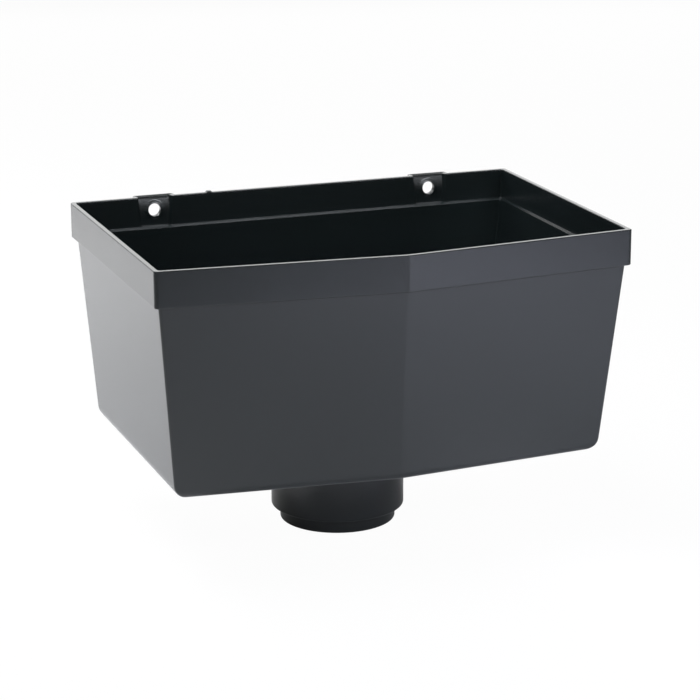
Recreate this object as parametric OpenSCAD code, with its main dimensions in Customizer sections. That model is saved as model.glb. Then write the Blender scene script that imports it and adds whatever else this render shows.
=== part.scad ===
// Downpipe hopper head, moulded in one piece from black PVC-U.
// An open tub with a shallow V front hangs on a wall by two screws through its rim
// and empties through a round spigot that plugs into the socket of a downpipe.
// The origin is on the axis of the spigot, level with the underside of the tub.
// +Z is up, -Y is the front and +Y is the wall.

/* [Rim] */
// Width of the rim band, outside
rim_width = 240.2; // [210:0.2:300]
// Depth of the rim band from its back face to its front corners
rim_depth = 155.6; // [130:0.2:190]
// Height of the rim band
rim_height = 17.8; // [14:0.1:26]
// How far the rim band stands out from the sides and the front of the tub below it
rim_step = 2.4; // [1.2:0.1:4]
// How far the rim band stands out from the back of the tub
back_step = 3.4; // [1.2:0.1:5]
// How far the crease of the V front stands in front of the corners
front_rise = 11.4; // [5:0.2:24]

/* [Tub] */
// Height from the underside to the top of the rim
tub_height = 114.2; // [80:0.2:160]
// Thickness of the moulded walls and of the floor
wall = 2.5; // [1.6:0.1:3]
// How far each side leans in between the rim and the underside
side_lean = 8.4; // [2:0.2:16]
// How far the front leans in between the rim and the underside
front_lean = 9.2; // [2:0.1:18]
// How far the back leans in between the rim and the underside
back_lean = 1; // [0.2:0.1:4]
// Outside radius of the folds between the sides and the floor
fold_radius = 7.5; // [4:0.5:12]
// Outside radius of the edges between the front, the back and the floor
toe_radius = 5; // [3.5:0.5:9]

/* [Outlet] */
// Distance from the axis of the outlet to the back face of the rim
outlet_setback = 65.6; // [50:0.2:85]
// Outside diameter of the spigot, for the socket of a round downpipe
spigot_diameter = 68; // [60:0.5:82]
// Length of the spigot below the underside
spigot_length = 39; // [25:0.5:60]
// Outside diameter of the narrow lip that leads the spigot into the socket
lip_diameter = 59; // [50:0.5:61]
// Length of the lip below the spigot
lip_length = 7.4; // [4:0.2:14]
// Thickness of the spigot's and the lip's wall
outlet_wall = 2.4; // [1.8:0.1:3]
// Chamfer on the lower edges of the spigot and the lip
outlet_chamfer = 0.8; // [0.4:0.1:1.4]

/* [Wall fixing] */
// Distance between the two screw holes
hole_spacing = 151.4; // [110:0.2:180]
// Diameter of the screw holes
hole_diameter = 6.5; // [4:0.1:7.5]
// Depth of the screw holes below the top of the rim
hole_drop = 7.3; // [6.4:0.1:8]
// Inside width of a fixing pad at the top of the rim
pad_width = 18.8; // [15:0.2:24]
// Inside width lost on each side of a pad between its top and its foot
pad_taper = 0.9; // [0.2:0.1:1.4]
// How far a pad is set back from the rim towards the wall
pad_recess = 3.6; // [1.5:0.1:4]
// How far the sides of a pad open out over the recess
pad_flare = 1.2; // [0.4:0.1:1.6]
// Diameter of the raised boss around a screw hole
boss_diameter = 10.2; // [8.5:0.1:11]
// Height of the boss above the face of the pad
boss_height = 0.5; // [0.3:0.1:1.4]

/* [Moulding nib] */
// Distance of the trimmed nib on the back rim from the middle, to the left
nib_offset = 46.8; // [30:0.2:55]
// Width of the nib along the rim
nib_width = 2.6; // [1:0.1:5]
// Height of the nib above the rim
nib_height = 0.8; // [0.2:0.1:2]

/* [Hidden] */
$fn = 96;

// Cutting solids run this far past the faces that they cut
cut_through = 1;
// Half-spaces reach this far from the axis of the outlet
reach = rim_width + rim_depth + outlet_setback;

// Levels of the rim band, and of the top of the ledge inside it
rim_low = tub_height - rim_height;
ledge_top = rim_low + wall;

// Places along Y of the rim's back face, front corners and crease
rim_back = outlet_setback;
rim_corner = rim_back - rim_depth;
rim_crease = rim_corner - front_rise;

// The two front facets turn away from the crease by this angle, and lie this far from the axis
facet_angle = atan(front_rise / (rim_width / 2));
facet_distance = -rim_crease * cos(facet_angle);

// Slopes of the tub's faces, as run over rise
side_slope = side_lean / rim_low;
front_slope = front_lean / rim_low;
back_slope = back_lean / rim_low;

// Screw holes, pads and bosses
hole_height = tub_height - hole_drop;
pad_face = rim_back - wall + pad_recess;
pad_back = rim_back + pad_recess;

// Half width of the tub, distance of its facets and place of its back at a height z, outside
function half_width(z) = rim_width / 2 - rim_step - side_lean + z * side_slope;
function facet_at(z) = facet_distance - rim_step - front_lean + z * front_slope;
function back_at(z) = rim_back - back_step - back_lean + z * back_slope;

// Lays a flat outline of X and Z values along the Y axis
module along_y() {
    rotate([90, 0, 0])
        linear_extrude(height = 2 * reach, center = true)
            children();
}

// Lays a flat outline of Y and Z values along the X axis
module along_x() {
    rotate([90, 0, 90])
        linear_extrude(height = 2 * reach, center = true)
            children();
}

// Flat region on the inner side of a leaning face, above a floor, with a round where they meet.
// The face passes through start at height 0 and runs out by slope, inset moves both faces inwards
module leaning_side(start, slope, radius, inset, top) {
    lean = atan(slope);
    round_z = radius;
    round_x = start + round_z * slope - radius / cos(lean);
    small = radius - inset;
    skin = inset / cos(lean);
    polygon([
        [-reach, inset],
        [round_x, inset],
        [round_x + small * cos(lean), round_z - small * sin(lean)],
        [start + top * slope - skin, top],
        [-reach, top]
    ]);
    translate([round_x, round_z])
        circle(r = small);
}

// Space inside the tub's faces, moved inwards by inset, up to a level top
module tub_space(inset, top) {
    intersection() {
        along_y()
            leaning_side(half_width(0), side_slope, fold_radius, inset, top);
        along_y()
            mirror([1, 0])
                leaning_side(half_width(0), side_slope, fold_radius, inset, top);
        intersection_for (turn = [-facet_angle, facet_angle])
            rotate([0, 0, turn])
                along_x()
                    mirror([1, 0])
                        leaning_side(facet_at(0), front_slope, toe_radius, inset, top);
        along_x()
            leaning_side(back_at(0), back_slope, toe_radius, inset, top);
    }
}

// Plan of the rim band, moved inwards by inset
module rim_plan(inset) {
    half = rim_width / 2 - inset;
    crease = rim_crease + inset / cos(facet_angle);
    polygon([
        [-half, rim_back - inset],
        [half, rim_back - inset],
        [half, crease + half * tan(facet_angle)],
        [0, crease],
        [-half, crease + half * tan(facet_angle)]
    ]);
}

// Block of a fixing pad between two places along Y, from a level bottom to a level top.
// Its sides taper towards the foot and open out towards the front, grow widens it on each side
module pad_block(grow, front, back, bottom, top) {
    half = pad_width / 2 + grow;
    open = pad_flare / pad_recess;
    mouth = rim_back - wall;
    intersection() {
        translate([0, 0, bottom])
            linear_extrude(height = top - bottom)
                polygon([
                    [-half - (mouth - front) * open, front],
                    [half + (mouth - front) * open, front],
                    [half - (back - mouth) * open, back],
                    [-half + (back - mouth) * open, back]
                ]);
        along_y()
            polygon([
                [-half + pad_taper, rim_low],
                [half - pad_taper, rim_low],
                [half + pad_taper, tub_height + rim_height],
                [-half - pad_taper, tub_height + rim_height]
            ]);
    }
}

// Cylinder along Y between two places
module rod_along_y(diameter, front, back) {
    translate([0, front, 0])
        rotate([-90, 0, 0])
            cylinder(d = diameter, h = back - front);
}

// Puts its children at the two screw holes, level with the axis of the outlet
module at_holes() {
    for (side = [-1, 1])
        translate([side * hole_spacing / 2, 0, 0])
            children();
}

// Outside of the spigot and its lip, with chamfered lower edges
module outlet_outside() {
    spigot = spigot_diameter / 2;
    lip = lip_diameter / 2;
    shoulder = -spigot_length;
    rotate_extrude()
        polygon([
            [0, wall / 2],
            [spigot, wall / 2],
            [spigot, shoulder + outlet_chamfer],
            [spigot - outlet_chamfer, shoulder],
            [lip, shoulder],
            [lip, shoulder - lip_length + outlet_chamfer],
            [lip - outlet_chamfer, shoulder - lip_length],
            [0, shoulder - lip_length]
        ]);
}

// Waterway through the floor, the spigot and the lip
module outlet_bore() {
    translate([0, 0, outlet_wall - spigot_length])
        cylinder(d = spigot_diameter - 2 * outlet_wall, h = spigot_length + cut_through + wall);
    translate([0, 0, -spigot_length - lip_length - cut_through])
        cylinder(d = lip_diameter - 2 * outlet_wall, h = spigot_length + lip_length);
}

// Nib left on the back rim where the moulding was trimmed
module moulding_nib() {
    translate([-nib_offset - nib_width / 2, rim_back - wall, tub_height - wall])
        cube([nib_width, wall, wall + nib_height]);
}

// The whole moulding
module hopper_head() {
    color("#22262a")
    difference() {
        union() {
            tub_space(0, rim_low + wall / 2);
            translate([0, 0, rim_low])
                linear_extrude(height = rim_height)
                    rim_plan(0);
            at_holes()
                pad_block(wall, rim_back - wall, pad_back, rim_low, tub_height);
            outlet_outside();
            moulding_nib();
        }
        tub_space(wall, ledge_top + cut_through);
        translate([0, 0, ledge_top])
            linear_extrude(height = rim_height)
                rim_plan(wall);
        at_holes() {
            difference() {
                pad_block(0, rim_back - wall - cut_through, pad_face, ledge_top, tub_height + cut_through);
                translate([0, 0, hole_height])
                    rod_along_y(boss_diameter, pad_face - boss_height, pad_back);
            }
            translate([0, 0, hole_height])
                rod_along_y(hole_diameter, rim_back - wall - pad_recess, pad_back + cut_through);
        }
        outlet_bore();
    }
}

hopper_head();
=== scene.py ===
import bpy
import numpy as np
from mathutils import Matrix, Vector


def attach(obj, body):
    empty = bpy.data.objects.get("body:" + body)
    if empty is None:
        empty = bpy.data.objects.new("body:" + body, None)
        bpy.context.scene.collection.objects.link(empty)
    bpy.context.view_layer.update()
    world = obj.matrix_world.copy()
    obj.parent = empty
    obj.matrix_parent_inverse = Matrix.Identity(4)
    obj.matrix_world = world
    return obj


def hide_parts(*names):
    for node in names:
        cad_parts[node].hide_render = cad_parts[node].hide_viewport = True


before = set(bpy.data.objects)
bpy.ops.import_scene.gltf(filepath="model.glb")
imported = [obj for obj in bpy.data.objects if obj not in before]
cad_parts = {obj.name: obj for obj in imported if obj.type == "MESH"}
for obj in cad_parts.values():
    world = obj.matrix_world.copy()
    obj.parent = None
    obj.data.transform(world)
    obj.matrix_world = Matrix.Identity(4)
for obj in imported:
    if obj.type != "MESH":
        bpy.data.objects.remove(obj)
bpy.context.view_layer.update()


# Hopper shell
# The real piece is one injection moulding of black PVC-U with walls of about 2.5 mm. A tub with a V front
# carries a stepped rim, two screw pads are pushed back out of the rim towards the wall, and the outlet
# below is a spigot with a narrower lip. The mould leaves a small round on every edge.
MM = 0.001

# Rim, tub and floor in millimetres, from the axis of the outlet and the underside of the tub
RIM_HALF, RIM_BACK, RIM_CREASE = 120.1, 65.6, 101.4
RIM_TOP, RIM_LOW, RIM_STEP, BACK_STEP = 114.2, 96.4, 2.4, 3.6
FRONT_RISE = 11.4
WALL = 2.5
# The ledge inside the rim falls a little from the foot of the rim to its edge, so that water drains,
# and the rim's wall is thicker at its foot by the draft of the mould
LEDGE_FOOT, LEDGE_EDGE = 98.8, 98.65
DRAFT = 0.5
SIDE_LEAN, FRONT_LEAN, BACK_LEAN = 8.4, 9.2, 1.0
SIDE_FOLD, TOE_FOLD = 7.5, 5.0
FACET_TURN = np.arctan(FRONT_RISE / RIM_HALF)
FACET_REACH = RIM_CREASE * np.cos(FACET_TURN)

# Rounds of the edges
RIM_CORNER, TUB_CORNER, INNER_CORNER, CREASE_ROUND = 2.0, 1.4, 1.6, 2.0
RIM_ROUND, STEP_ROUND, LEDGE_ROUND = 0.4, 0.55, 0.25

# Screw pads: set back from the rim, with flared sides that taper towards the ledge
PAD_PLACE, PAD_HALF, PAD_TAPER = 75.7, 9.4, 0.9
PAD_RECESS, PAD_FLARE, PAD_ROUND = 3.6, 0.9, 0.4
# The foot of a pad is filled by this share of the recess, and the power keeps most of the lean near the top
PAD_FILL, PAD_POWER = 0.385, 2.5
# The top of a pad falls forwards to a crisp edge
PAD_FALL, PAD_CRISP = 0.4, 0.12
# Screw holes: a low rounded ring in front, and a wide rounded brim behind
HOLE_HEIGHT, HOLE_RADIUS, BRIM = 106.9, 3.25, 1.9
RING_FOOT, RING_LEAD, RING_HEIGHT, RING_FLAT, RING_POINTS = 5.3, 0.35, 0.35, 0.1, 9

# Trimmed nib on the back rim: places across it and its height there
NIB_PLACE = -46.8
NIB_ACROSS = np.array([1.75, 1.5, 1.3, 1.1, 0.8, 0.0, -0.8, -1.1, -1.3, -1.5, -1.75])
NIB_HEIGHT = np.array([0.0, 0.06, 0.4, 0.7, 0.8, 0.8, 0.8, 0.7, 0.4, 0.06, 0.0])

# Columns stand this close to the end of a round, so that the flat faces beside it shade flat
HOLD = 0.3
# Points of a round, as shares of its turn and as the angles of a quarter
ROUND_POINTS = 6
BEND = np.linspace(0.0, 1.0, ROUND_POINTS)
QUARTER = np.linspace(0.0, np.pi / 2, ROUND_POINTS)
sin_q, cos_q = np.sin(QUARTER), np.cos(QUARTER)
# Columns of the plain stretches: sides, front facets, and the back edge outside the pads, between the right
# pad and the nib, and between the nib and the left pad
SIDE_COLUMNS, FACET_COLUMNS = 34, 30
END_COLUMNS, MIDDLE_COLUMNS, BEYOND_COLUMNS = 8, 34, 7
# Columns along the flared side of a pad, as shares of it
FLARE_SHARES = np.array([0.2, 0.5, 0.8])
# Which of the back edge's parts are the right pad, the nib and the left pad
RIGHT_PAD, NIB, LEFT_PAD = 2, 4, 6

# A square of mesh round each screw hole, cut where rays of equal angle leave it
BLOCK_HALF, BLOCK_CELLS = 5.6, 12
BLOCK = BLOCK_HALF * np.tan(np.linspace(np.pi / 4, -np.pi / 4, BLOCK_CELLS + 1))


def leaning_wall(foot, lean, fold, skin, z):
    """Distance of a wall from the outlet axis at height z. The wall leaves foot and runs out by lean over
    the height of the tub; below, a circular fold turns it into the floor; skin moves it inwards."""
    slope = lean / RIM_LOW
    tilt = np.arctan(slope)
    radius = fold - skin
    depth = np.clip(fold - z, radius * np.sin(tilt), radius)
    curved = foot + fold * slope - fold / np.cos(tilt) + np.sqrt(radius**2 - depth**2)
    straight = foot + z * slope - skin / np.cos(tilt)
    return np.where(fold - z > radius * np.sin(tilt), curved, straight)


def tub_plan(z, skin):
    """Half width, facet distance and back of the tub at heights z: one leaning wall for each."""
    z = np.asarray(z, float)
    half = leaning_wall(RIM_HALF - RIM_STEP - SIDE_LEAN, SIDE_LEAN, SIDE_FOLD, skin, z)
    facet = leaning_wall(FACET_REACH - RIM_STEP - FRONT_LEAN, FRONT_LEAN, TOE_FOLD, skin, z)
    back = leaning_wall(RIM_BACK - BACK_STEP - BACK_LEAN, BACK_LEAN, TOE_FOLD, skin, z)
    return np.stack([half, facet, back])


def crowded(count):
    """Shares between 0 and 1 without the ends, closer together near both ends: (1 - cos) / 2."""
    return (0.5 - 0.5 * np.cos(np.linspace(0.0, np.pi, count + 2)))[1:-1]


def pad_section(z, inset):
    """Half of a pad in plan, from the rim to the middle of the pad: x from the middle and set-back y.
    Two rounds of one radius join the rim, the flared side and the face; the second is the first one
    turned half round about the middle of the side."""
    widen = (WALL - inset) * (1 - PAD_FLARE / PAD_RECESS)
    mouth = PAD_HALF - PAD_TAPER * np.clip((RIM_TOP - z) / (RIM_TOP - RIM_LOW), 0, 1) + widen
    turn = np.arctan2(PAD_RECESS, PAD_FLARE)
    trim = PAD_ROUND * np.tan(turn / 2)
    angle = turn * BEND
    x_rim = mouth + trim - PAD_ROUND * np.sin(angle)
    y_rim = PAD_ROUND * (1 - np.cos(angle)) + 0 * z
    x_face = 2 * mouth - PAD_FLARE - x_rim[:, ::-1]
    y_face = PAD_RECESS - y_rim[:, ::-1]
    x_side = x_rim[:, -1:] + FLARE_SHARES * (x_face[:, :1] - x_rim[:, -1:])
    y_side = y_rim[:, -1:] + FLARE_SHARES * (y_face[:, :1] - y_rim[:, -1:])
    x_hold = x_face[:, -1:] - HOLD
    x_flat = np.concatenate([x_hold, (x_hold + BLOCK_HALF) / 2, BLOCK[: BLOCK_CELLS // 2 + 1] + 0 * z], 1)
    x = np.concatenate([x_rim[:, :1] + HOLD, x_rim, x_side, x_face, x_flat], 1)
    y = np.concatenate([0 * z, y_rim, y_side, y_face, PAD_RECESS + 0 * x_flat], 1)
    return x, y


def back_edge(reach, z, inset):
    """Columns of the back edge from x = reach to -reach, with both pads and the nib: x and set-back y.
    Plain stretches between them hold columns at fixed shares of their length."""
    x_half, y_half = pad_section(z, inset)
    x_pad = np.concatenate([x_half, -x_half[:, -2::-1]], 1)
    y_pad = np.concatenate([y_half, y_half[:, -2::-1]], 1)
    edge = x_half[:, :1]
    nib = NIB_PLACE + NIB_ACROSS + 0 * z

    def stretch(start, stop, count):
        return start + crowded(count) * (stop - start)

    end = stretch(reach - HOLD, PAD_PLACE + edge, END_COLUMNS)
    middle = stretch(PAD_PLACE - edge, nib[:, :1], MIDDLE_COLUMNS)
    beyond = stretch(nib[:, -1:], edge - PAD_PLACE, BEYOND_COLUMNS)
    parts = [
        reach - HOLD, end, PAD_PLACE + x_pad, middle, nib,
        beyond, x_pad - PAD_PLACE, -end[:, ::-1], HOLD - reach,
    ]
    set_back = [0 * p for p in parts]
    set_back[RIGHT_PAD] = set_back[LEFT_PAD] = y_pad
    starts = np.cumsum([0] + [p.shape[1] for p in parts])
    return np.concatenate(parts, 1), np.concatenate(set_back, 1), starts


def plan_loops(plan, z, corner, pad=0.0, inset=0.0):
    """Closed loops round the hopper, one row of points for each level z: five straight edges (back, left,
    the two front facets, right) joined by round corners. pad is 1 where the screw pads are set back, and
    inset says how far the loop lies inside the rim's outer face."""
    given = [np.atleast_1d(np.asarray(v, float)) for v in (*plan, z, corner, pad, inset)]
    half, facet, back, z, corner, pad, inset = (v.reshape(-1, 1) for v in np.broadcast_arrays(*given))
    crease = facet / np.cos(FACET_TURN)
    front = crease - half * np.tan(FACET_TURN)
    across = np.hstack([half, -half, -half, 0 * half, half])
    along = np.hstack([back, back, -front, -crease, -front])
    points = np.stack([across, along], -1)
    ways = np.roll(points, -1, 1) - points
    ways /= np.linalg.norm(ways, axis=2, keepdims=True)
    turns = np.arccos(np.clip((ways[0] * np.roll(ways[0], 1, 0)).sum(1), -1, 1))
    radii = np.hstack([corner, corner, corner, CREASE_ROUND + 0 * corner, corner])
    trims = radii * np.tan(turns / 2)
    parts = []
    for k in range(5):
        after = (k + 1) % 5
        arrive, leave = ways[:, k - 1, None], ways[:, k, None]
        left = np.stack([-arrive[..., 1], arrive[..., 0]], -1)
        angle = (turns[k] * BEND)[:, None]
        begin = points[:, k, None] - arrive * trims[:, k, None, None]
        size = radii[:, k, None, None]
        parts.append(begin + size * np.sin(angle) * arrive + size * (1 - np.cos(angle)) * left)
        start = points[:, k, None] + leave * trims[:, k, None, None]
        stop = points[:, after, None] - leave * trims[:, after, None, None]
        if k == 0:
            x, y, _ = back_edge(start[:, :, 0], z, inset)
            parts.append(np.stack([x, back + pad * y], -1))
        else:
            share = crowded(SIDE_COLUMNS if k in (1, 4) else FACET_COLUMNS)[:, None]
            near, far = start + HOLD * leave, stop - HOLD * leave
            parts.append(np.concatenate([near, near + share * (far - near), far], 1))
    loops = np.concatenate(parts, 1)
    return np.concatenate([loops, np.broadcast_to(z[:, :, None], (*loops.shape[:2], 1))], 2)


def rim_height(z):
    """Share of the height between the foot of the ledge and the top of the rim, from 0 to 1."""
    return np.clip((np.asarray(z, float) - LEDGE_FOOT) / (RIM_TOP - LEDGE_FOOT), 0, 1)


def drafted(z):
    """Thickness of the rim's wall at height z: it grows evenly from the top of the rim to its foot."""
    return WALL + DRAFT * (1 - rim_height(z))


def pad_lean(z):
    """Share of its full set-back that a pad's face has at height z: one less a squared cosine of a power of
    the height, so the face stands upright at its foot and at its top and leans back between them."""
    return 1 - PAD_FILL * np.cos(np.pi / 2 * rim_height(z) ** PAD_POWER) ** 2


def rim_loops(inset, z, corner, pad=1.0):
    """Loops of the rim band: the rim's outer plan moved inwards by inset, with its pads."""
    inset = np.asarray(inset, float)
    plan = np.array([RIM_HALF, FACET_REACH, RIM_BACK])[:, None] - np.atleast_1d(inset)
    return plan_loops(plan, z, corner, pad, inset)


def tub_loops(z, skin, out, corner, inset=0.0):
    """Loops of the tub at heights z: its outer plan moved inwards by skin, then outwards by out. Its
    columns stand where those of the rim's loop at inset do."""
    return plan_loops(tub_plan(z, skin) + out, z, corner, inset=inset)


def between(first, last, shares):
    """Loops that share out the flat strip between two loops, point by point along straight lines."""
    shares = np.asarray(shares, float)[:, None, None]
    return first + shares * (last - first)


# Outer side, upwards: fold above the floor, leaning walls, step and outer face of the rim. Rows of the tall
# walls stand one pitch apart, and one more row lies below the squares round the screw holes
ROW_PITCH, FOLD_ROWS, OUTER_FIRST, OUTER_ROW = 12.0, 16, 16.0, 99.2
fold_turn = np.arccos(SIDE_LEAN / np.hypot(SIDE_LEAN, RIM_LOW))
fold_z = SIDE_FOLD * (1 - np.cos(np.linspace(0.0, fold_turn, FOLD_ROWS)))
toe_lean = np.array([FRONT_LEAN, BACK_LEAN])
toe_z = TOE_FOLD * (1 - toe_lean / np.hypot(toe_lean, RIM_LOW))
wall_z = np.arange(OUTER_FIRST, RIM_LOW - ROW_PITCH / 2, ROW_PITCH)
outer_z = np.concatenate([
    np.sort(np.concatenate([fold_z, toe_z])), fold_z[-1:] + HOLD, wall_z, [RIM_LOW - STEP_ROUND - HOLD],
])
outer_tub = tub_loops(outer_z, 0.0, 0.0, TUB_CORNER)
step_z = RIM_LOW - STEP_ROUND + STEP_ROUND * sin_q
step_inside = tub_loops(step_z, 0.0, STEP_ROUND * (1 - cos_q), TUB_CORNER)
step_edge = rim_loops(STEP_ROUND * (1 - sin_q), RIM_LOW + STEP_ROUND * (1 - cos_q), RIM_CORNER)
rim_edge = RIM_TOP - RIM_ROUND - HOLD / 2
rim_z = np.concatenate([[RIM_LOW + STEP_ROUND + HOLD, OUTER_ROW], HOLE_HEIGHT + BLOCK[::-1], [rim_edge]])
rim_outside = rim_loops(0 * rim_z, rim_z, RIM_CORNER)

# Top of the rim, then downwards inside it to the ledge and on down the inner walls to the floor. The pads
# have a top of their own
INNER_ROW, INNER_FIRST, FLOOR_ROW = 100.2, 86.0, 8.0
INNER_FOLD_TURN, INNER_FOLD_ROWS = 1.48, 12
over = RIM_ROUND * (1 - cos_q)
top_outside = rim_loops(over, RIM_TOP - RIM_ROUND * (1 - sin_q), RIM_CORNER - over)
drop = 1 - sin_q[::-1]
top_inside = rim_loops(WALL - over[::-1], RIM_TOP - RIM_ROUND * drop, INNER_CORNER + over[::-1])
crisp = PAD_CRISP * (1 - cos_q[::-1])
pad_top = rim_loops(WALL - crisp, RIM_TOP - PAD_FALL - PAD_CRISP * drop, INNER_CORNER + over[::-1])
in_pad = np.clip((pad_top[:, :, 1] - RIM_BACK + WALL) / PAD_RECESS, 0, 1)[..., None]
top_inside += in_pad * (pad_top - top_inside)
inside_z = np.concatenate([[rim_edge], HOLE_HEIGHT + BLOCK, [INNER_ROW, LEDGE_FOOT + LEDGE_ROUND + HOLD]])
rim_inside = rim_loops(drafted(inside_z), inside_z, INNER_CORNER, pad_lean(inside_z))
rim_inside[0, :, 2] -= PAD_FALL * in_pad[-1, :, 0]
foot_z = LEDGE_FOOT + LEDGE_ROUND * (1 - sin_q)
foot_inset = drafted(foot_z) + LEDGE_ROUND * (1 - cos_q)
ledge_foot = rim_loops(foot_inset, foot_z, INNER_CORNER, pad_lean(foot_z))
ledge_inset = WALL + DRAFT + LEDGE_ROUND
ledge_z = LEDGE_EDGE - LEDGE_ROUND * (1 - cos_q)
ledge_edge = tub_loops(ledge_z, WALL, LEDGE_ROUND * (1 - sin_q), INNER_CORNER, ledge_inset)
inner_fold = SIDE_FOLD - (SIDE_FOLD - WALL) * np.cos(np.linspace(0.0, INNER_FOLD_TURN, INNER_FOLD_ROWS))
inner_z = np.concatenate([
    [LEDGE_EDGE - LEDGE_ROUND - HOLD], np.arange(INNER_FIRST, ROW_PITCH, -ROW_PITCH),
    [FLOOR_ROW], inner_fold[::-1],
])
inner_tub = tub_loops(inner_z, WALL, 0.0, INNER_CORNER, ledge_inset)

# Outlet: rings at the same bearings as the columns of the floor
bearing = np.arctan2(outer_tub[0, :, 1], outer_tub[0, :, 0])
SPIGOT_RADIUS, SPIGOT_END = 34.0, -39.0
LIP_RADIUS, LIP_END = 29.5, -46.4
OUTLET_WALL, OUTLET_ROUND, BORE_ROUND = 2.4, 0.8, 0.5
# Levels of the plain rows inside and outside the spigot
BORE_ROWS, SPIGOT_ROWS = (-12.0, -24.0), (-26.0, -13.0)


def rings(radius, z):
    """Circles round the outlet axis, one for each pair of radius and height."""
    radius, z = (v.reshape(-1, 1) for v in np.broadcast_arrays(np.atleast_1d(radius), np.atleast_1d(z)))
    return np.stack([radius * np.cos(bearing), radius * np.sin(bearing), z + 0 * radius * bearing], -1)


bore, lip_bore = SPIGOT_RADIUS - OUTLET_WALL, LIP_RADIUS - OUTLET_WALL
shelf = SPIGOT_END + OUTLET_WALL
floor_mouth = rings(bore + BORE_ROUND * (1 - sin_q), WALL - BORE_ROUND * (1 - cos_q))
bore_wall = rings(bore, np.array([WALL - BORE_ROUND - HOLD, *BORE_ROWS, shelf + BORE_ROUND + HOLD]))
shelf_foot = rings(bore - BORE_ROUND * (1 - cos_q), shelf + BORE_ROUND * (1 - sin_q))
shelf_edge = rings(lip_bore + BORE_ROUND * (1 - sin_q), shelf - BORE_ROUND * (1 - cos_q))
lip_inside = rings(lip_bore, np.array([shelf - BORE_ROUND - HOLD, LIP_END + BORE_ROUND + HOLD]))
lip_inner_edge = rings(lip_bore + BORE_ROUND * (1 - cos_q), LIP_END + BORE_ROUND * (1 - sin_q))
lip_outer_edge = rings(LIP_RADIUS - OUTLET_ROUND * (1 - sin_q), LIP_END + OUTLET_ROUND * (1 - cos_q))
lip_outside = rings(LIP_RADIUS, np.array([LIP_END + OUTLET_ROUND + HOLD, SPIGOT_END - BORE_ROUND - HOLD]))
shoulder_foot = rings(LIP_RADIUS + BORE_ROUND * (1 - cos_q), SPIGOT_END - BORE_ROUND * (1 - sin_q))
shoulder_edge = rings(SPIGOT_RADIUS - OUTLET_ROUND * (1 - sin_q), SPIGOT_END + OUTLET_ROUND * (1 - cos_q))
spigot_z = np.array([SPIGOT_END + OUTLET_ROUND + HOLD, *SPIGOT_ROWS, -BORE_ROUND - HOLD])
spigot_outside = rings(SPIGOT_RADIUS, spigot_z)
spigot_foot = rings(SPIGOT_RADIUS + BORE_ROUND * (1 - cos_q), -BORE_ROUND * (1 - sin_q))

# The whole section in order, closed on itself: up the outside, over the rim, down the inside and out by
# the lip. Flat strips between two loops are shared out by these shares
strip, wide = (0.15, 0.5, 0.85), (0.01, 0.3, 0.7, 0.99)
section = [
    ("outer tub", outer_tub),
    ("step inside", step_inside),
    ("step", between(step_inside[-1], step_edge[0], strip)),
    ("step edge", step_edge),
    ("rim outside", rim_outside),
    ("top outside", top_outside),
    ("top", between(top_outside[-1], top_inside[0], strip)),
    ("top inside", top_inside),
    ("rim inside", rim_inside),
    ("ledge foot", ledge_foot),
    ("ledge", between(ledge_foot[-1], ledge_edge[0], strip)),
    ("ledge edge", ledge_edge),
    ("inner tub", inner_tub),
    ("floor", between(inner_tub[-1], floor_mouth[0], wide)),
    ("floor mouth", floor_mouth),
    ("bore wall", bore_wall),
    ("shelf foot", shelf_foot),
    ("shelf", between(shelf_foot[-1], shelf_edge[0], strip)),
    ("shelf edge", shelf_edge),
    ("lip inside", lip_inside),
    ("lip inner edge", lip_inner_edge),
    ("lip end", between(lip_inner_edge[-1], lip_outer_edge[0], strip)),
    ("lip outer edge", lip_outer_edge),
    ("lip outside", lip_outside),
    ("shoulder foot", shoulder_foot),
    ("shoulder", between(shoulder_foot[-1], shoulder_edge[0], strip)),
    ("shoulder edge", shoulder_edge),
    ("spigot outside", spigot_outside),
    ("spigot foot", spigot_foot),
    ("underside", between(spigot_foot[-1], outer_tub[0], wide)),
]
lengths = [len(loops) for _, loops in section]
row_of = dict(zip([name for name, _ in section], np.cumsum([0] + lengths[:-1])))
shell = np.concatenate([loops for _, loops in section])
rows, columns = shell.shape[:2]

# The nib lifts the top of the rim where it stands
_, _, starts = back_edge(np.array([[RIM_HALF - RIM_CORNER]]), np.array([[RIM_TOP]]), np.array([[0.0]]))
nib_first = ROUND_POINTS + starts[NIB]
lifted = slice(row_of["top outside"] + 1, row_of["rim inside"] - 1)
shell[lifted, nib_first : nib_first + len(NIB_HEIGHT), 2] += NIB_HEIGHT

# Faces join each loop to the next one, and the squares round the screw holes stay open
row, column = np.meshgrid(np.arange(rows), np.arange(columns), indexing="ij")
after_row, after_column = (row + 1) % rows, (column + 1) % columns
corners = [(row, column), (row, after_column), (after_row, after_column), (after_row, column)]
quads = np.stack([r * columns + c for r, c in corners], -1)
keep = np.ones((rows, columns), bool)
outside_first, inside_first = row_of["rim outside"] + 2, row_of["rim inside"] + 1
hold_columns = (starts[RIGHT_PAD + 1] - starts[RIGHT_PAD] - BLOCK_CELLS - 1) // 2
points, faces = [shell.reshape(-1, 3)], []
around = np.arange(4 * BLOCK_CELLS)
angle = np.radians(-45 + 360 * around / len(around))
side, step = around // BLOCK_CELLS, around % BLOCK_CELLS
up = np.select([side == 0, side == 1, side == 2], [step, BLOCK_CELLS, BLOCK_CELLS - step], 0)
across = np.select([side == 0, side == 1, side == 2], [0, step, BLOCK_CELLS], BLOCK_CELLS - step)

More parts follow.
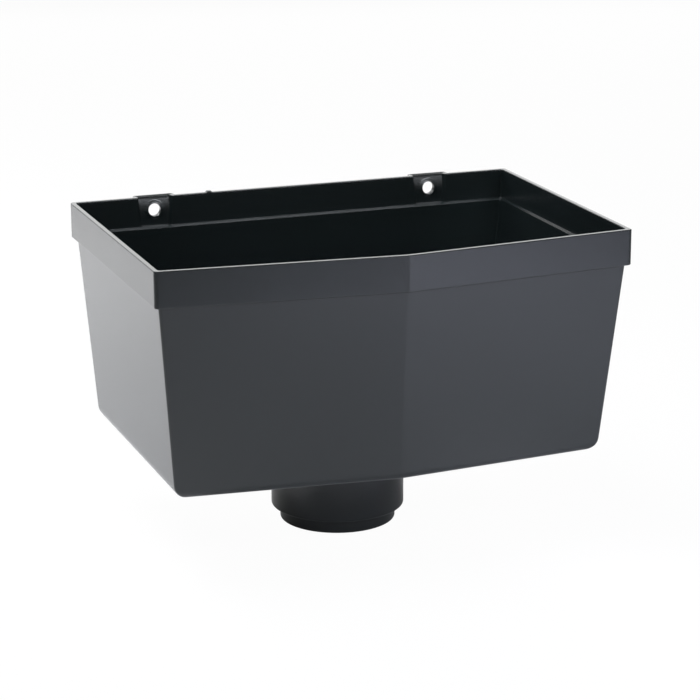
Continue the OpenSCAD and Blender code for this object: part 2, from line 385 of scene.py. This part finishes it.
# Each hole is a run of circles from the face of the pad over its ring, through the bore, to the back
pad_face, pad_back = RIM_BACK - WALL + PAD_RECESS, RIM_BACK + PAD_RECESS
crest = pad_face - RING_HEIGHT
climb = np.linspace(0.0, 1.0, RING_POINTS)
hole_radius = np.concatenate([
    [RING_FOOT + RING_FLAT], RING_FOOT + climb * (HOLE_RADIUS + RING_LEAD - RING_FOOT),
    HOLE_RADIUS + RING_LEAD * (1 - sin_q[1:]), [HOLE_RADIUS],
    HOLE_RADIUS + BRIM * (1 - cos_q), [HOLE_RADIUS + BRIM + HOLD],
])
hole_depth = np.concatenate([
    [pad_face], pad_face - RING_HEIGHT * (0.5 - 0.5 * np.cos(np.pi * climb)),
    crest + RING_LEAD * (1 - cos_q[1:]), [pad_back - BRIM - HOLD],
    pad_back - BRIM * (1 - sin_q), [pad_back],
])
in_front = (hole_depth < pad_back - BRIM - HOLD)[:, None]
for place, part in ((PAD_PLACE, RIGHT_PAD), (-PAD_PLACE, LEFT_PAD)):
    first = ROUND_POINTS + starts[part] + hold_columns
    keep[inside_first : inside_first + BLOCK_CELLS, first : first + BLOCK_CELLS] = False
    keep[outside_first : outside_first + BLOCK_CELLS, first : first + BLOCK_CELLS] = False
    ring_z = HOLE_HEIGHT + hole_radius[:, None] * np.sin(angle)
    ring_y = hole_depth[:, None] - in_front * (PAD_RECESS * (1 - pad_lean(ring_z)) + drafted(ring_z) - WALL)
    circles = np.stack([place + hole_radius[:, None] * np.cos(angle), ring_y, ring_z], -1)
    base = sum(len(p) for p in points)
    number = base + np.arange(circles.shape[0] * circles.shape[1]).reshape(circles.shape[:2])
    front = (inside_first + BLOCK_CELLS - up) * columns + first + across
    behind = (outside_first + up) * columns + first + across
    run = np.concatenate([front[None], number, behind[None]])
    turned = np.roll(run, -1, 1)
    faces.append(np.stack([run[:-1], turned[:-1], turned[1:], run[1:]], -1).reshape(-1, 4))
    points.append(circles.reshape(-1, 3))

faces = np.concatenate([quads[keep].reshape(-1, 4), *faces])
used, faces = np.unique(faces, return_inverse=True)
points = np.concatenate(points)[used] * MM
mesh = bpy.data.meshes.new("hopper_shell")
mesh.from_pydata(points.tolist(), [], faces.reshape(-1, 4).tolist())
mesh.shade_smooth()
hopper = bpy.data.objects.new("hopper_shell", mesh)
bpy.context.scene.collection.objects.link(hopper)


def linear(code):
    """A colour written as sRGB hex, as linear RGBA: each channel through the sRGB curve."""
    value = np.array([int(code[i : i + 2], 16) for i in (1, 3, 5)]) / 255
    curve = np.where(value <= 0.04045, value / 12.92, ((value + 0.055) / 1.055) ** 2.4)
    return (*curve, 1.0)


def add(tree, kind, links=(), **settings):
    """Adds one node: settings go to its properties or, by name, to its inputs; links feed its inputs."""
    node = tree.nodes.new(kind)
    for name, value in settings.items():
        if hasattr(node, name):
            setattr(node, name, value)
        else:
            node.inputs[name.replace("_", " ")].default_value = value
    for name, source in links:
        tree.links.new(source, node.inputs[name])
    return node


# Glossy black PVC-U, moulded against polished steel: nearly black in itself, so that the eye sees the white
# studio in it. Slow sink of the walls bends the reflections a little, and a fine skin softens them. The real
# skin is finer than a pixel, so it is drawn at nearly a millimetre. Lengths and depths are in millimetres
PVC_DARK, PVC_PALE, PVC_IOR = "#131919", "#171d1e", 1.53
ROUGH_LOW, ROUGH_HIGH = 0.2, 0.26
SINK_LENGTH, SINK_STRENGTH, SINK_DEPTH = 45.0, 0.02, 0.05
SKIN_GRAIN, SKIN_STRENGTH, SKIN_DEPTH = 0.9, 0.05, 0.02
pvc = bpy.data.materials.new("glossy black PVC-U")
pvc.use_nodes = True
tree = pvc.node_tree
tree.nodes.clear()
place = add(tree, "ShaderNodeTexCoord").outputs["Object"]
sink = add(tree, "ShaderNodeTexNoise", [("Vector", place)], Scale=1 / (SINK_LENGTH * MM), Detail=1.0)
skin = add(tree, "ShaderNodeTexNoise", [("Vector", place)], Scale=1 / (SKIN_GRAIN * MM), Detail=2.0)
tone = add(
    tree, "ShaderNodeMix", [("Factor", sink.outputs["Fac"])],
    data_type="RGBA", A=linear(PVC_DARK), B=linear(PVC_PALE),
)
rough = add(tree, "ShaderNodeMapRange", [("Value", skin.outputs["Fac"])], To_Min=ROUGH_LOW, To_Max=ROUGH_HIGH)
wave = add(
    tree, "ShaderNodeBump", [("Height", sink.outputs["Fac"])],
    Strength=SINK_STRENGTH, Distance=SINK_DEPTH * MM,
)
grain = add(
    tree, "ShaderNodeBump", [("Height", skin.outputs["Fac"]), ("Normal", wave.outputs["Normal"])],
    Strength=SKIN_STRENGTH, Distance=SKIN_DEPTH * MM,
)
shader = add(
    tree, "ShaderNodeBsdfPrincipled",
    [
        ("Base Color", tone.outputs["Result"]), ("Roughness", rough.outputs["Result"]),
        ("Normal", grain.outputs["Normal"]),
    ],
    IOR=PVC_IOR,
)
add(tree, "ShaderNodeOutputMaterial", [("Surface", shader.outputs["BSDF"])])
mesh.materials.append(pvc)
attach(hopper, "root")
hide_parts("hopper_head")


# Floor
# A plain pale studio floor under the lip of the outlet: a matt painted board, wide enough to fill every view.
# The camera sees it nearly white, and a trace of its own light and shade stays in it.
FLOOR_REACH, FLOOR_PAINT, WHITE = 12.0, "#f2f2f2", "#ffffff"
# Share of plain white that the camera and the reflections see in the floor; the rest is its lit paint
VIEW_SHARE, GLOSS_SHARE = 0.97, 0.08


def by_ray(tree, lit, mirrored, seen):
    """A value by the kind of ray: lit for rays that carry light, mirrored for glossy and transmitted rays,
    seen for the camera's own."""
    path = add(tree, "ShaderNodeLightPath")
    either = add(
        tree, "ShaderNodeMath",
        [(0, path.outputs["Is Glossy Ray"]), (1, path.outputs["Is Transmission Ray"])], operation="MAXIMUM",
    )
    unseen = add(tree, "ShaderNodeMapRange", [("Value", either.outputs[0])], To_Min=lit, To_Max=mirrored)
    level = add(
        tree, "ShaderNodeMapRange",
        [("Value", path.outputs["Is Camera Ray"]), ("To Min", unseen.outputs[0])], To_Max=seen,
    )
    return level.outputs[0]


floor_mesh = bpy.data.meshes.new("studio_floor")
edge = np.array([[-1, -1], [1, -1], [1, 1], [-1, 1]]) * FLOOR_REACH
floor_mesh.from_pydata([(x, y, LIP_END * MM) for x, y in edge], [], [(0, 1, 2, 3)])
floor = bpy.data.objects.new("studio_floor", floor_mesh)
bpy.context.scene.collection.objects.link(floor)
paint = bpy.data.materials.new("matt white floor paint")
paint.use_nodes = True
tree = paint.node_tree
tree.nodes.clear()
matt = add(tree, "ShaderNodeBsdfDiffuse", Color=linear(FLOOR_PAINT))
glow = add(tree, "ShaderNodeEmission", Color=linear(WHITE), Strength=1.0)
share = by_ray(tree, 0.0, GLOSS_SHARE, VIEW_SHARE)
surface = add(tree, "ShaderNodeMixShader", [("Fac", share), (1, matt.outputs[0]), (2, glow.outputs[0])])
add(tree, "ShaderNodeOutputMaterial", [("Surface", surface.outputs[0])])
floor_mesh.materials.append(paint)


# Light
# A white studio: a faint even room and soft boxes of white cloth on stands. Most of them light the floor,
# because a glossy black part shows little but what it mirrors; a fabric grid narrows the beam of the others.

# Share of the white room that lights the part, and that its gloss shows
ROOM_LEVEL, ROOM_GLOSS = 0.02, 0.3
world = bpy.data.worlds.new("white studio")
bpy.context.scene.world = world
world.use_nodes = True
tree = world.node_tree
tree.nodes.clear()
level = by_ray(tree, ROOM_LEVEL, ROOM_GLOSS, 1.0)
sky = add(tree, "ShaderNodeBackground", [("Strength", level)], Color=linear(WHITE))
add(tree, "ShaderNodeOutputWorld", [("Surface", sky.outputs[0])])

# Name, place and aim in metres, width and height, power in watts, spread of the beam in degrees, tint
SOFT_BOXES = [
    # Large boxes: the floor and the sky that the side, the rim's top and the left front facet mirror
    ("left_soft_box", (-0.45, 0.75, 0.6), (-0.28, 0.55, -0.05), (0.5, 0.5), 3.85, 130, "#ffffff"),
    ("back_soft_box", (0.45, 1.68, 0.5), (0.0, 0.0, 0.1), (2.2, 0.9), 10.6, 180, "#ffffff"),
    ("top_soft_box", (-0.5, 0.1, 1.2), (0.0, -0.05, -0.05), (0.7, 0.7), 3.97, 100, "#f4f7ff"),
    ("side_soft_box", (-0.5, 0.1, 1.2), (-0.25, 0.25, -0.05), (0.7, 0.7), 1.03, 70, "#ffffff"),
    # Boxes low over the floor in front: the patches that the right and left facets and the outlet mirror
    ("right_soft_box", (0.34, -0.34, 0.2), (0.16, -0.26, -0.05), (0.2, 0.2), 0.2, 90, "#e6eaff"),
    ("far_soft_box", (0.4, -0.77, 0.35), (0.32, -0.64, -0.05), (0.35, 0.35), 2.3, 90, "#e6e9ff"),
    ("near_soft_box", (0.03, -0.75, 0.55), (0.03, -0.5, -0.046), (0.1, 0.1), 0.065, 24, "#e6eaff"),
    ("low_soft_box", (0.3, -0.55, 0.16), (0.05, -0.1, -0.05), (0.2, 0.15), 0.005, 30, "#e2eaff"),
    ("spot_soft_box", (0.3, -0.5, 0.5), (0.1, -0.13, -0.046), (0.06, 0.06), 0.011, 8, "#e6eaff"),
    # Narrow boxes with a grid, into the tub: its ledge, back wall, inner right corner and screw pads
    ("front_soft_box", (0.45, -1.18, 0.82), (0.0, 0.0, 0.1), (0.45, 0.3), 0.55, 50, "#f4f8ff"),
    ("tub_soft_box", (-0.45, -0.65, 0.8), (0.095, 0.06, 0.08), (0.12, 0.12), 0.012, 10, "#f4f8ff"),
    ("corner_soft_box", (0.11, -0.75, 0.62), (0.112, 0.06, 0.07), (0.05, 0.05), 0.0045, 4.5, "#f4f8ff"),
    ("pad_soft_box", (-0.3, -0.65, 0.75), (-0.02, 0.06, 0.1), (0.12, 0.12), 0.026, 16, "#f4f8ff"),
]
for name, stand, aim, size, power, spread, tint in SOFT_BOXES:
    lamp = bpy.data.lights.new(name, "AREA")
    lamp.shape = "RECTANGLE"
    lamp.size, lamp.size_y = size
    lamp.energy = power
    lamp.spread = np.radians(spread)
    lamp.color = linear(tint)[:3]
    box = bpy.data.objects.new(name, lamp)
    box.location = stand
    box.rotation_euler = (Vector(aim) - Vector(stand)).to_track_quat("-Z", "Y").to_euler()
    box.visible_camera = False
    bpy.context.scene.collection.objects.link(box)


# Camera
# A long lens 20 degrees to the left of the front and 16 degrees above it, rolled by a sixth of a degree.
EYE, AIM = np.array([-0.42454, -1.17928, 0.39664]), np.array([0.00885, 0.00463, 0.0396])
LENS, SENSOR, ROLL = 131.965, 36.0, np.radians(-0.155)
back = (EYE - AIM) / np.linalg.norm(EYE - AIM)
right = np.cross([0.0, 0.0, 1.0], back)
right /= np.linalg.norm(right)
upward = np.cross(back, right)
right, upward = np.cos(ROLL) * right + np.sin(ROLL) * upward, np.cos(ROLL) * upward - np.sin(ROLL) * right
lens = bpy.data.cameras.new("long lens")
lens.lens, lens.sensor_width = LENS, SENSOR
camera = bpy.data.objects.new("long lens", lens)
camera.matrix_world = Matrix([(right[i], upward[i], back[i], EYE[i]) for i in range(3)] + [(0, 0, 0, 1)])
bpy.context.scene.collection.objects.link(camera)
bpy.context.scene.camera = camera
bpy.context.scene.view_settings.view_transform = "Standard"
